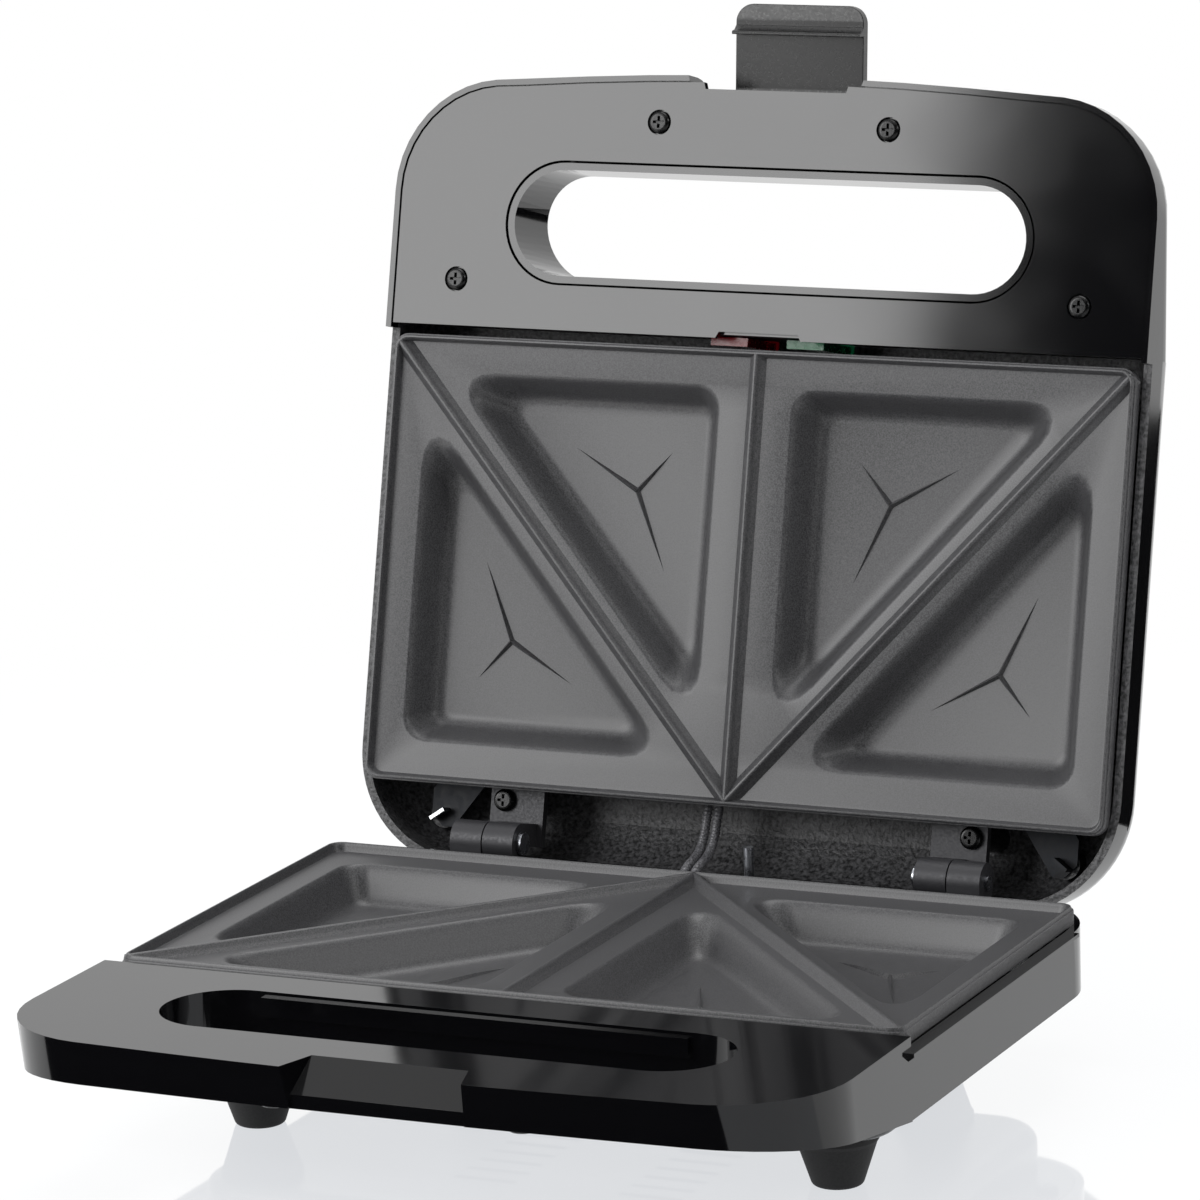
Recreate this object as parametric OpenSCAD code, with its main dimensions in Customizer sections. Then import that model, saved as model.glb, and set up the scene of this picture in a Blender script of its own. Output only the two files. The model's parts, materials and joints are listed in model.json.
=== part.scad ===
// Sandwich toaster with two hinged halves, two matching non-stick plates,
// looped handles and a swinging latch. It is drawn open, as it stands on a table.
// X is the width, the handles point to -Y, +Z is up.
// The origin lies on the table, under the middle of the open toaster.
// Both halves are drawn closed about the parting plane, with the hinge line at y = 0,
// and then placed: y runs back from the hinge line, z up from the parting plane.

/* [Overall] */
// Half width of both housings
half_w = 114; // [110:0.5:120]
// Distance from the hinge line to the root of the handles
root_v = 145; // [143:0.5:150]
// Length of the handles, from their root to the front edge
handle_len = 71.8; // [69:0.2:77]
// Height of the parting plane above the table
parting_z = 50; // [46:0.5:60]
// Hinge axis below the parting plane
hinge_drop = 0.9; // [0:0.1:1.5]
// Angle of the open lid, measured from the closed lid
lid_open = 104.3; // [90:0.1:106]
// Wall of the plastic mouldings
wall = 2.4; // [1.8:0.1:3]
// Fitting gap between pieces of one half
fit = 0.3; // [0.2:0.05:0.5]

/* [Handles] */
// Plan radius of the front corners
nose_r = 32; // [24:1:38]
// Radius of the slightly bowed front edge
bow_r = 1000; // [700:50:2000]
// Thickness of the base handle at its front edge
base_nose_h = 12.4; // [11:0.2:15]
// Draft of the base handle skirt
nose_draft = 2; // [1:0.25:3]
// Thickness of the lid handle at its front edge
lid_nose_h = 16; // [15:0.5:19]
// Length of the finger opening
grip_len = 158.4; // [140:0.2:166]
// Width of the finger opening
grip_w = 35; // [32:0.5:38]
// Distance from the handle root to the middle of the finger opening
grip_out = 29; // [27:0.5:31]
// Step from the cover edge of the opening to the inside of its tube
grip_rim = 2.6; // [2.2:0.1:3]

/* [Plates] */
// Gap between the side walls and the cooking plates
plate_side_gap = 0.6; // [0.4:0.1:3]
// Distance from the hinge line to the rear rim of the plates
plate_rear_v = 14.8; // [14:0.2:17]
// Distance from the front rim of the plates to the handle root
plate_front_gap = 3.9; // [3.5:0.1:6]
// Plan radius of the plate corners
plate_r = 4; // [3:0.5:8]
// Depth from the rim down to the flat land
land_depth = 2.8; // [2:0.2:4]
// Depth of the pockets below the land
pocket_depth = 10.5; // [8:0.5:12]
// Thickness of the cast plate
plate_t = 2.2; // [2:0.1:2.2]
// Width of the soft slope round each pocket floor
pocket_slope = 8; // [6:0.5:10]
// Corner radius of the pockets at the land
pocket_r = 7; // [5:0.5:9]
// Land between a pocket and the middle divider
land_mid = 10.5; // [9:0.5:13]
// Land between a pocket and the rim
land_rim = 10; // [9:0.5:12]
// Land between a pocket and the slanting divider
land_diag = 5.2; // [4.5:0.1:7]
// Width of the dividers at their foot
divider_w = 5; // [4:0.5:6]

/* [Housings] */
// Height of the steam gap between the parting plane and the side walls
steam_gap = 5; // [4:0.5:6]
// Height of the base side walls below the parting plane
base_wall_h = 23; // [21:0.5:26]
// Depth of the base belly below the parting plane
belly_depth = 36; // [34:0.5:38]
// Distance that the base rear wall stands behind the hinge line
base_rear = 1.5; // [1:0.1:1.6]
// Plan radius of the rear corners of the base
base_r = 28; // [24:1:32]
// Distance that the lid rear wall stands behind the hinge line
lid_rear = 8; // [7.5:0.1:10]
// Plan radius of the rear corners of the lid
lid_r = 32; // [28:1:36]
// Height of the flat top of the lid above the parting plane
lid_h = 31; // [30.5:0.5:33]
// Radius that rounds the top edge of the lid
lid_edge_r = 18; // [14:1:24]
// Height of the raised panel on the lid
panel_h = 5; // [3:0.5:6]

/* [Latch] */
// Width of the latch
latch_w = 38.4; // [30:0.2:39]
// Distance from the handle root to the latch pin
latch_out = 60; // [59:0.5:61]
// Height of the latch pin above the parting plane
latch_w0 = 10; // [9.5:0.5:11]
// Angle between the open latch and the plane of the lid
latch_tilt = 9; // [4:1:14]
// Diameter of the latch pin
latch_pin_d = 2.5; // [2:0.1:3]

/* [Hinge] */
// Diameter of the hinge pins
pin_d = 4; // [3:0.1:4.5]
// Diameter of the hinge knuckles
knuckle_d = 11; // [10:0.2:12]
// Distance from the side of the lid to the inner end of its knuckles
knuckle_in = 54; // [52:0.5:58]
// Length of each knuckle
knuckle_len = 9.5; // [8:0.5:10]
// Running clearance of pins in their bores, on the radius
running = 0.05; // [0.02:0.01:0.1]

/* [Feet] */
// Distance from the side of the base to the front feet
foot_front_in = 31; // [28:0.5:36]
// Distance from the side of the base to the rear feet
foot_rear_in = 46; // [42:0.5:54]
// Distance from the front feet to the handle root
foot_front_gap = 27; // [25:0.5:33]
// Distance from the hinge line to the rear feet
foot_rear_v = 14; // [12:0.5:18]
// Diameter of a foot on the table
foot_d = 14; // [12:0.5:16]
// Diameter of a foot at its top
foot_top_d = 22; // [19:0.5:24]

/* [Inside] */
// Diameter of the tubular heating elements
element_d = 6.5; // [6:0.1:7]
// Diameter of the bore that the mains lead enters by
inlet_d = 6; // [5:0.1:6.4]
// Diameter of the two sleeved leads to the lid
lead_d = 2.6; // [2:0.1:3]

/* [Hidden] */
$fn = 64;
eps = 0.01;
face_gap = 0.2;          // each rim stays this far from the parting plane
deck_z = 1.2;            // handle faces lie this far from the parting plane
front_v = root_v + handle_len;
hinge_y = front_v - 146.8;            // the hinge line in the standing frame
grip_v = root_v + grip_out;
latch_v = root_v + latch_out;
plate_hw = half_w - wall - plate_side_gap;
plate_front_v = root_v - plate_front_gap;
foot_front_x = half_w - foot_front_in;
foot_rear_x = half_w - foot_rear_in;
foot_front_v = root_v - foot_front_gap;
knuckle_x = half_w - knuckle_in;
grip_r = grip_w / 2;
grip_reach = grip_len / 2 - grip_r;
inner_grip_r = grip_r - grip_rim;
element_r = element_d / 2;
land_z = -land_depth;
floor_z = land_z - pocket_depth;
under_z = floor_z - plate_t;          // flat underside of the pockets
skirt_z = land_z - plate_t;           // underside of the land
element_z = under_z - element_r - 0.1;
latch_reach = 9.2;                    // from the pin to the inner face of the latch
latch_len = 32.2;                     // from the pin to the tip of the latch
hook_s = latch_w0 + 13.8;             // from the pin to the catching face of the hook
ledge_v = front_v - 3.8;              // front face of the ledge that the hook catches
bay_hw = 21;                          // half width of the latch bays at their back
bay_flare = 3.5;                      // widening of the bays toward the front
screw_head_d = 6.4;
screw_d = 3;
thread_d = screw_d + 0.1;             // hole that a screw bites in
through_d = screw_d + 0.5;            // hole that a screw passes
base_grip_r = grip_r - 0.3;           // inside of the base finger opening
tube_t = 2;                           // wall of the tubes round the finger openings
cover_t = 2.2;                        // thickness of the handle covers
rebate = 1.6;                         // lip of the lid handle outside its cover
lid_rim_w = 0.4;                      // edge of the lid handle, from the parting plane
cover_w = 1;                          // outer face of the lid handle cover
cover_seat_w = cover_w + cover_t;     // back of the lid handle cover
base_slope = atan((base_wall_h - base_nose_h) / (front_v - root_v));
cover_screw_places = [[half_w - 79.7, root_v + 58.1], [half_w - 20.7, root_v + 12]];
cover_screw_len = 8;
slope_screw_len = 10;                 // screws of the base handle cover
tub_screw_len = 11;

// ---------------------------------------------------------------- placing

module at_base() {
    translate([0, hinge_y, parting_z]) children();
}

module at_lid() {
    translate([0, hinge_y, parting_z - hinge_drop])
        rotate([-lid_open, 0, 0])
            translate([0, 0, hinge_drop]) children();
}

module at_latch() {
    at_lid() translate([0, -latch_v, latch_w0])
        rotate([-(90 - latch_tilt), 0, 0]) children();
}

// The lid pieces that match base pieces are their mirror images.
module flip() {
    mirror([0, 0, 1]) children();
}

// The same piece on both sides of the middle
module pair() {
    children();
    mirror([1, 0, 0]) children();
}

// ---------------------------------------------------------------- outlines

// Points of an arc about c, from angle a0 to a1, in steps
function arc(c, r, a0, a1, steps = 8) =
    [for (i = [0:steps]) let (a = a0 + (a1 - a0) * i / steps)
        [c[0] + r * cos(a), c[1] + r * sin(a)]];

// D outline of the handles, drawn in from the outer outline by inset, and its
// front also back by draft. root is where it ends, toward the hinge.
module handle_outline(inset = 0, root = root_v, draft = 0) {
    hw = half_w - inset;
    r = nose_r - inset;
    cx = half_w - nose_r;
    cy = -(front_v - 3.2 - nose_r - draft);
    nose = -(front_v - inset - draft);
    bow = [for (i = [-4:4]) let (x = i * (cx - 6) / 4) [x, nose + x * x / (2 * bow_r)]];
    polygon(concat([[-hw, -root]], arc([-cx, cy], r, 180, 265, 10), bow,
        arc([cx, cy], r, 275, 360, 10), [[hw, -root]]));
}

module stadium(reach, r, y) {
    translate([-reach, y - r]) square([2 * reach, 2 * r]);
    for (s = [-1, 1]) translate([s * reach, y]) circle(r);
}

// Body outline behind the handles: a rectangle with round rear corners
module tub_outline(inset, rear, r) {
    hw = half_w - inset;
    back = rear - inset;
    rr = r - inset;
    translate([-hw, -root_v]) square([2 * hw, root_v + back - rr]);
    translate([-(hw - rr), back - rr - eps]) square([2 * (hw - rr), rr + eps]);
    for (s = [-1, 1]) translate([s * (hw - rr), back - rr]) circle(rr);
}

// ---------------------------------------------------------------- fasteners

// Pan-head cross-recess screw, head down on z = 0, shank toward -z
module pan_screw(len, d = screw_d, head = screw_head_d) {
    head_h = 2;
    difference() {
        union() {
            rotate_extrude() polygon(concat([[0, 0], [head / 2, 0]],
                arc([head / 2 - 1.2, head_h - 1.2], 1.2, 0, 90, 5), [[0, head_h]]));
            translate([0, 0, -len]) cylinder(d = d, h = len + eps);
        }
        for (a = [0, 90]) rotate([0, 0, a])
            translate([-1.7, -0.4, head_h - 1.1]) cube([3.4, 0.8, 2]);
    }
}

module tube(d_out, d_in, len) {
    difference() {
        cylinder(d = d_out, h = len);
        translate([0, 0, -1]) cylinder(d = d_in, h = len + 2);
    }
}

// ---------------------------------------------------------------- cooking plate

// Outline of one triangular pocket. The right angle lies at corner, the legs run
// along x and y, and the long side stays parallel to the slanting divider.
// inner pockets touch the middle divider, outer pockets the side rim.
diag_v = [plate_hw, -(plate_front_v - plate_rear_v)];     // divider, from its rear end
diag_len = norm(diag_v);
diag_slope = (plate_front_v - plate_rear_v) / plate_hw;   // run in y for a run in x

function pocket_corners(outer, inset) =
    let (off = (land_diag + inset) * diag_len / plate_hw)
    outer
    ? let (x = plate_hw - land_rim - inset, y = -(plate_rear_v + land_rim + inset + 1.2))
        [[x, y], [x, -plate_rear_v - x * diag_slope + off],
         [(-plate_rear_v + off - y) / diag_slope, y]]
    : let (x = land_mid + inset, y = -(plate_front_v - land_rim - inset))
        [[x, y], [x, -plate_rear_v - x * diag_slope - off],
         [(-plate_rear_v - off - y) / diag_slope, y]];

// Centre for a round corner of radius r: on the bisector, r away from both sides
function round_centre(p, i, r) =
    let (u = (p[(i + 1) % 3] - p[i]) / norm(p[(i + 1) % 3] - p[i]),
         v = (p[(i + 2) % 3] - p[i]) / norm(p[(i + 2) % 3] - p[i]),
         half = acos(u * v) / 2)
    p[i] + (u + v) / norm(u + v) * r / sin(half);

// Cavity of one pocket: round-cornered at the land, soft slopes, flat floor
module pocket_cavity(outer) {
    rim = pocket_corners(outer, 0);
    mid = pocket_corners(outer, pocket_slope * 0.3);
    low = pocket_corners(outer, pocket_slope);
    r_low = 2.5;
    r_mid = pocket_r - 1.5;
    hull() {
        for (i = [0:2]) {
            translate(concat(round_centre(rim, i, pocket_r), [land_z - 0.5]))
                cylinder(r = pocket_r, h = 0.6, $fn = 28);
            translate(concat(round_centre(mid, i, r_mid), [land_z - pocket_depth * 0.42]))
                cylinder(r = r_mid, h = 0.1, $fn = 28);
            translate(concat(round_centre(low, i, r_low), [floor_z + 1.4]))
                cylinder(r = r_low, h = 0.1, $fn = 28);
            translate(concat(round_centre(low, i, r_low), [floor_z]))
                cylinder(r = r_low - 1.1, h = 0.1, $fn = 28);
        }
    }
}

// Direction away from the triangle p of its side from corner i to the next
function side_normal(p, i) =
    let (d = p[(i + 1) % 3] - p[i], turn = sign(cross(p[1] - p[0], p[2] - p[0])))
    atan2(d[1], d[0]) - 90 * turn;

// Outline of the triangle p with corners of radius r
function rounded(p, r, steps = 6) =
    [for (i = [0:2]) let (c = round_centre(p, i, r), a = side_normal(p, (i + 2) % 3),
        turn = (side_normal(p, i) - a + 900) % 360 - 180)
        for (k = [0:steps]) c + r * [cos(a + turn * k / steps), sin(a + turn * k / steps)]];

// Underside of one pocket: a straight-walled cast block with round corners
module pocket_block(outer) {
    translate([0, 0, under_z]) linear_extrude(land_z - under_z - 0.5)
        polygon(rounded(pocket_corners(outer, pocket_slope * 0.3 - plate_t), pocket_r));
}

// Three tapered ribs on a pocket floor, toward its corners
module score_ribs(outer) {
    p = pocket_corners(outer, pocket_slope);
    c = (p[0] + p[1] + p[2]) / 3;
    foot = 1.1;
    rise = 1.2;
    for (i = [0:2]) {
        d = p[i] - c;
        reach = norm(d) * 0.52;
        translate([c[0], c[1], floor_z]) rotate([0, 0, atan2(d[1], d[0])])
            polyhedron([[-foot, 0, -0.5], [0, -foot, -0.5], [reach, 0, -0.5], [0, foot, -0.5],
                [0, 0, rise]],
                [[0, 1, 2, 3], [1, 0, 4], [2, 1, 4], [3, 2, 4], [0, 3, 4]]);
    }
}

// Raised divider with sloping flanks and a narrow flat crest, from a to b
module divider(a, b) {
    d = b - a;
    foot = divider_w / 2;
    crest = 0.7;
    translate([a[0], a[1], 0]) rotate([0, 0, atan2(d[1], d[0])])
        rotate([90, 0, 90]) linear_extrude(norm(d))
            polygon([[-foot, land_z - 0.3], [foot, land_z - 0.3], [crest, -0.3 - face_gap],
                [-crest, -0.3 - face_gap]]);
}

module plate_outline(inset) {
    r = max(plate_r - inset, 1);
    x = plate_hw - inset;
    translate([-x + r, -(plate_front_v - inset)])
        square([2 * (x - r), plate_front_v - plate_rear_v - 2 * inset]);
    translate([-x, -(plate_front_v - inset) + r])
        square([2 * x, plate_front_v - plate_rear_v - 2 * (inset + r)]);
    for (sx = [-1, 1]) {
        translate([sx * (x - r), -(plate_front_v - inset - r)]) circle(r);
        translate([sx * (x - r), -(plate_rear_v + inset + r)]) circle(r);
    }
}

// Sloping inner flank of the rim, one straight prism to a side
module rim_flanks() {
    top = -face_gap;
    run = 3.4;
    x = plate_hw - 1;
    y0 = -(plate_front_v - 1);
    y1 = -(plate_rear_v + 1);
    flank = [[0, land_z - 0.3], [0, top - 0.1], [run * 0.15, top - 0.1], [run, land_z],
        [run, land_z - 0.3]];
    pair() translate([x, y0, 0]) rotate([90, 0, 180]) linear_extrude(y1 - y0)
        polygon(flank);
    translate([-x, y0, 0]) rotate([90, 0, 90]) linear_extrude(2 * x) polygon(flank);
    translate([x, y1, 0]) rotate([90, 0, -90]) linear_extrude(2 * x) polygon(flank);
}

post_d = 7;
post_places = [[plate_hw - 43, plate_front_v - 37.1], [plate_hw - 43, plate_rear_v + 39.2]];
clamp_v = (plate_front_v + plate_rear_v) / 2;

// Cast cooking plate, face up, with its rim just under the parting plane
module cooking_plate() {
    post_z = reflector_z + reflector_t;
    difference() {
        union() {
            translate([0, 0, skirt_z]) linear_extrude(-skirt_z - face_gap)
                difference() {
                    plate_outline(0);
                    plate_outline(1.2);
                }
            translate([0, 0, skirt_z]) linear_extrude(plate_t) plate_outline(0.6);
            rim_flanks();
            pair() {
                pocket_block(false);
                pocket_block(true);
                divider([0, -plate_rear_v - 1], [plate_hw - 1.5, -plate_front_v + 2.5]);
                for (p = post_places) translate([p[0], -p[1], post_z])
                    cylinder(d = post_d, h = under_z - post_z + 1);
            }
            divider([0, -plate_front_v + 1], [0, -plate_rear_v - 1]);
            translate([0, -clamp_v, element_z - element_r])
                cylinder(d = 9, h = skirt_z - element_z + element_r + 1);
        }
        pair() {
            pocket_cavity(false);
            pocket_cavity(true);
            for (p = post_places) translate([p[0], -p[1], post_z - 1])
                cylinder(d = thread_d, h = 10);
        }
        translate([0, -clamp_v, element_z - element_r - 1]) cylinder(d = thread_d, h = 11);
    }
    pair() {
        score_ribs(false);
        score_ribs(true);
    }
}

// ---------------------------------------------------------------- heating parts

// One bent heating tube under the pockets, its two ends turned in between them
bend_r = 12;
element_x = plate_hw - 31;
element_front_v = plate_front_v - 25.1;
element_rear_v = plate_rear_v + 27.2;

module element_bend(x, y, a) {
    translate([x, y, element_z]) rotate([0, 0, a]) rotate_extrude(angle = 90)
        translate([bend_r, 0]) circle(r = element_r);
}

module element_rod(a, b) {
    d = b - a;
    translate([a[0], a[1], element_z]) rotate([0, 0, atan2(d[1], d[0])]) rotate([0, 90, 0])
        cylinder(r = element_r, h = norm(d));
}

module heating_element() {
    x = element_x;
    front = -element_front_v;
    rear = -element_rear_v;
    end_x = 24;
    element_rod([-x + bend_r, front], [x - bend_r, front]);
    pair() {
        element_bend(x - bend_r, front + bend_r, -90);
        element_rod([x, front + bend_r], [x, rear - bend_r]);
        element_bend(x - bend_r, rear - bend_r, 0);
        element_rod([end_x + bend_r, rear], [x - bend_r, rear]);
        element_bend(end_x + bend_r, rear - bend_r, 90);
        element_rod([end_x, rear - bend_r], [end_x, rear - bend_r - 22]);
        translate([end_x, rear - bend_r - 22, element_z]) rotate([90, 0, 0])
            cylinder(r = 1.2, h = 9);
    }
}

// Pressed strap that holds the front run of the tube against the plate
clamp_len = 84;
clamp_t = 1.5;
plate_screw_len = 9;
clamp_screw_len = 10;

module element_clamp() {
    z = element_z - element_r;
    y0 = -element_front_v - element_r - 1;
    difference() {
        union() {
            translate([-7, y0, z - clamp_t - 0.1])
                cube([14, element_front_v - clamp_v + element_r + 10, clamp_t]);
            translate([-clamp_len / 2, y0, z - clamp_t - 0.1])
                cube([clamp_len, 2 * element_r + 4, clamp_t]);
        }
        translate([0, -clamp_v, z - 3]) cylinder(d = through_d, h = 5);
    }
}

module plate_screws() {
    color("#a9acb0") pair() for (p = post_places) translate([p[0], -p[1], reflector_z])
        flip() pan_screw(plate_screw_len);
}

module clamp_screw() {
    color("#a9acb0") translate([0, -clamp_v, element_z - element_r - clamp_t - 0.1])
        flip() pan_screw(clamp_screw_len);
}

// Shallow metal dish that throws the heat back; it leaves the plate posts free
reflector_x = plate_hw - 25;
reflector_front_v = plate_front_v - 19.1;
reflector_rear_v = plate_rear_v + 17.2;
reflector_z = -28.4;
reflector_lip = 9;
reflector_t = 0.8;
stand_places = [[40, reflector_front_v - 10], [40, reflector_rear_v + 8]];
ear_place = [half_w - 20, 6];         // twist tab at the end of each rear ear
ear_w = 7;
tab_w = 5;

module rounded_rect(x, y0, y1, r) {
    translate([-x + r, y0]) square([2 * (x - r), y1 - y0]);
    translate([-x, y0 + r]) square([2 * x, y1 - y0 - 2 * r]);
    for (sx = [-1, 1], y = [y0 + r, y1 - r]) translate([sx * (x - r), y]) circle(r);
}

module reflector() {
    y0 = -reflector_front_v;
    y1 = -reflector_rear_v;
    difference() {
        translate([0, 0, reflector_z]) linear_extrude(reflector_lip)
            rounded_rect(reflector_x, y0, y1, 10);
        translate([0, 0, reflector_z + reflector_t]) linear_extrude(reflector_lip)
            rounded_rect(reflector_x - reflector_t, y0 + reflector_t, y1 - reflector_t,
                10 - reflector_t);
        pair() for (p = post_places) translate([p[0], -p[1], reflector_z - 1])
            cylinder(d = through_d, h = 4);
    }
    pair() reflector_ear();
}

// Ear from the rear lip of the dish to a twist tab that locks it in the housing
module reflector_ear() {
    z = reflector_z + reflector_lip - reflector_t;
    x0 = reflector_x - 14;
    difference() {
        translate([0, 0, z]) linear_extrude(reflector_t) polygon([[x0, -reflector_rear_v - 1],
            [x0, -reflector_rear_v + 4], [ear_place[0] - ear_w / 2, -ear_place[1] + ear_w / 2],
            [ear_place[0], -ear_place[1] + ear_w / 2], [ear_place[0] + ear_w / 2, -ear_place[1]],
            [ear_place[0] + ear_w / 2, -ear_place[1] - ear_w], [x0 + 10, -reflector_rear_v - 1]]);
        translate([0, 0, z - 1]) linear_extrude(3)
            rounded_rect(reflector_x - reflector_t, -reflector_front_v, -reflector_rear_v
                - reflector_t, 10 - reflector_t);
    }
    translate([ear_place[0], -ear_place[1], z + reflector_t - eps]) rotate([0, 0, 35])
        translate([-tab_w / 2, -0.5, 0]) cube([tab_w, 1, 4.5]);
}

// ---------------------------------------------------------------- swept bodies

// Half section of a round-edged body: straight from z0, rounded by e up to z2
function edge_section(r, z0, z2, e) =
    concat([[0, z0], [r, z0]], arc([r - e, z2 - e], e, 0, 90, 8), [[0, z2]]);

// Solid body with a flat front at y = -front and two round rear corners,
// its section swept along the sides and the rear
module tub(hw, front, rear, r, z0, z2, e) {
    sec = edge_section(r, z0, z2, e);
    pair() {
        translate([hw - r, rear - r, 0]) rotate_extrude() polygon(sec);
        translate([hw - r, rear - r, 0]) rotate([90, 0, 0])
            linear_extrude(front + rear - r) polygon(sec);
    }
    translate([-(hw - r), rear - r, 0]) rotate([90, 0, 90]) linear_extrude(2 * (hw - r))
        polygon(sec);
    translate([-(hw - r), -front, z0]) cube([2 * (hw - r), front + rear - r, z2 - z0]);
}

// The same with four round corners
module pan(hw, y0, y1, r, z0, z2, e) {
    sec = edge_section(r, z0, z2, e);
    pair() {
        for (y = [y0 + r, y1 - r]) translate([hw - r, y, 0]) rotate_extrude() polygon(sec);
        translate([hw - r, y1 - r, 0]) rotate([90, 0, 0]) linear_extrude(y1 - y0 - 2 * r)
            polygon(sec);
    }
    translate([-(hw - r), y1 - r, 0]) rotate([90, 0, 90]) linear_extrude(2 * (hw - r))
        polygon(sec);
    translate([hw - r, y0 + r, 0]) rotate([90, 0, -90]) linear_extrude(2 * (hw - r))
        polygon(sec);
    translate([-(hw - r), y0 + r, z0]) cube([2 * (hw - r), y1 - y0 - 2 * r, z2 - z0]);
}

// ---------------------------------------------------------------- base mouldings

// Frame of the sloping underside of the base handle
module on_slope() {
    translate([0, -root_v, -base_wall_h]) rotate([-base_slope, 0, 0])
        translate([0, root_v, 0]) children();
}

// Handle body of the base, drawn in by inset and down from its deck by drop
module base_handle_body(inset, drop, root) {
    hull() {
        translate([0, 0, -deck_z - drop - eps]) linear_extrude(eps) handle_outline(inset, root);
        on_slope() translate([0, 0, -drop / 2]) linear_extrude(eps)
            handle_outline(inset, root, nose_draft);
    }
}

// Plan of the latch bay: flares toward the front
module bay_outline(hw, back_v) {
    k = bay_flare / (front_v - latch_v);
    far = front_v + 12;
    polygon([[-hw, -back_v], [hw, -back_v], [hw + k * (far - back_v), -far],
        [-hw - k * (far - back_v), -far]]);
}

// Cut for the latch in the base handle, with a ramp down to the ledge
module base_bay(grow) {
    intersection() {
        translate([0, 0, -60]) linear_extrude(70) bay_outline(bay_hw + grow, latch_v - 2);
        rotate([90, 0, 90]) translate([0, 0, -60]) linear_extrude(120)
            polygon([[-latch_v + grow, 5], [-latch_v + grow, -deck_z - grow / 2],
                [-ledge_v + grow, -9.3], [-ledge_v + grow, -40], [-240, -40], [-240, 5]]);
    }
}

module grip_tube(r, z0, z1) {
    translate([0, 0, z0]) linear_extrude(z1 - z0) difference() {
        stadium(grip_reach, r + tube_t, -grip_v);
        stadium(grip_reach, r, -grip_v);
    }
}

lip_out = 1.6;
lip_h = 2.2;
slot_hw = knuckle_len + 1;             // half width of the rear slots for the knuckles
knuckle_mid = knuckle_x + knuckle_len + 0.1;
lead_x = -8;                           // middle between the two leads to the lid
lead_pitch = lead_d + 0.6;
boss_d = 8;
tub_screw_x = half_w - 8.2;
tub_screw_places = [[tub_screw_x, root_v - 25], [tub_screw_x, (root_v - 1) / 2],
    [tub_screw_x, base_r]];
ear_boss_d = 8;

module base_housing() {
    z_low = -base_wall_h;
    color("#1b1b1c") difference() {
        union() {
            difference() {
                union() {
                    base_handle_body(0, 0, root_v - wall + fit);
                    translate([0, 0, z_low]) linear_extrude(base_wall_h - steam_gap)
                        tub_outline(0, base_rear, base_r);
                }
                base_handle_body(wall, wall, root_v + wall);
                translate([0, 0, z_low - 1]) linear_extrude(40) intersection() {
                    tub_outline(wall, base_rear, base_r);
                    translate([-half_w, -root_v + wall]) square([2 * half_w, 200]);
                }
            }
            side_lips();
            intersection() {
                base_handle_body(0, 0, root_v + 1);
                union() {
                    grip_tube(base_grip_r, -40, 0);
                    base_bay(wall);
                    on_slope() pair() for (p = cover_screw_places)
                        translate([p[0], -p[1], cover_t]) cylinder(d = boss_d, h = 30);
                }
            }
            pair() for (p = tub_screw_places) tub_boss(p);
            translate([-60, -grip_v + base_grip_r - 1.4, -7.5]) cube([120, 2, 5]);
        }
        base_bay(0);
        difference() {
            translate([0, 0, -60]) linear_extrude(70) stadium(grip_reach, base_grip_r, -grip_v);
            translate([-60, -grip_v + base_grip_r - 1.4, -7.5]) cube([120, 2, 5]);
        }
        on_slope() pair() for (p = cover_screw_places)
            translate([p[0], -p[1], -1]) cylinder(d = thread_d, h = 12);
        pair() for (p = tub_screw_places) translate([p[0], -p[1], z_low - 1])
            cylinder(d = thread_d, h = 14);
        pair() translate([knuckle_mid - slot_hw, -8, -9]) cube([2 * slot_hw, 12, 10]);
        translate([lead_x - 7, -8, -9]) cube([14, 12, 10]);
    }
}

// Lips along the top of the side walls
module side_lips() {
    y0 = -root_v;
    run = root_v + base_rear - base_r;
    pair() translate([half_w - wall, y0, -steam_gap]) rotate([-90, 0, 0]) linear_extrude(run)
        polygon([[0.2, 0], [wall + lip_out, 0], [wall + lip_out, lip_h * 0.45], [wall - eps, lip_h],
            [0.2, lip_h]]);
}

// Screw boss of the housing, standing on the bottom moulding
module tub_boss(p) {
    top = -steam_gap - 6;
    z0 = -base_wall_h + wall;
    translate([p[0], -p[1], z0]) {
        cylinder(d = boss_d, h = top - z0);
        translate([0, -1.2, 0]) cube([half_w - p[0] - 1, 2.4, top - z0]);
    }
}

base_knuckle_x = knuckle_x + knuckle_len + 0.2;
hinge_seat_z = -base_wall_h + wall;    // seat of the base hinge brackets
hinge_screw_v = 11.5;
ear_z = reflector_z + reflector_lip - reflector_t;
foot_places = [[foot_front_x, foot_front_v], [-foot_front_x, foot_front_v],
    [foot_rear_x, foot_rear_v], [-foot_rear_x, foot_rear_v]];
foot_stem_d = 7;
bush_d = 7.6;
belly_hw = half_w - 15;
belly_front_v = root_v - 13;
belly_rear_v = 3.6;
belly_r = 16;
belly_edge = 4;
inlet_x = -36;
inlet_z = -27.5;
vent_count = 9;

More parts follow.
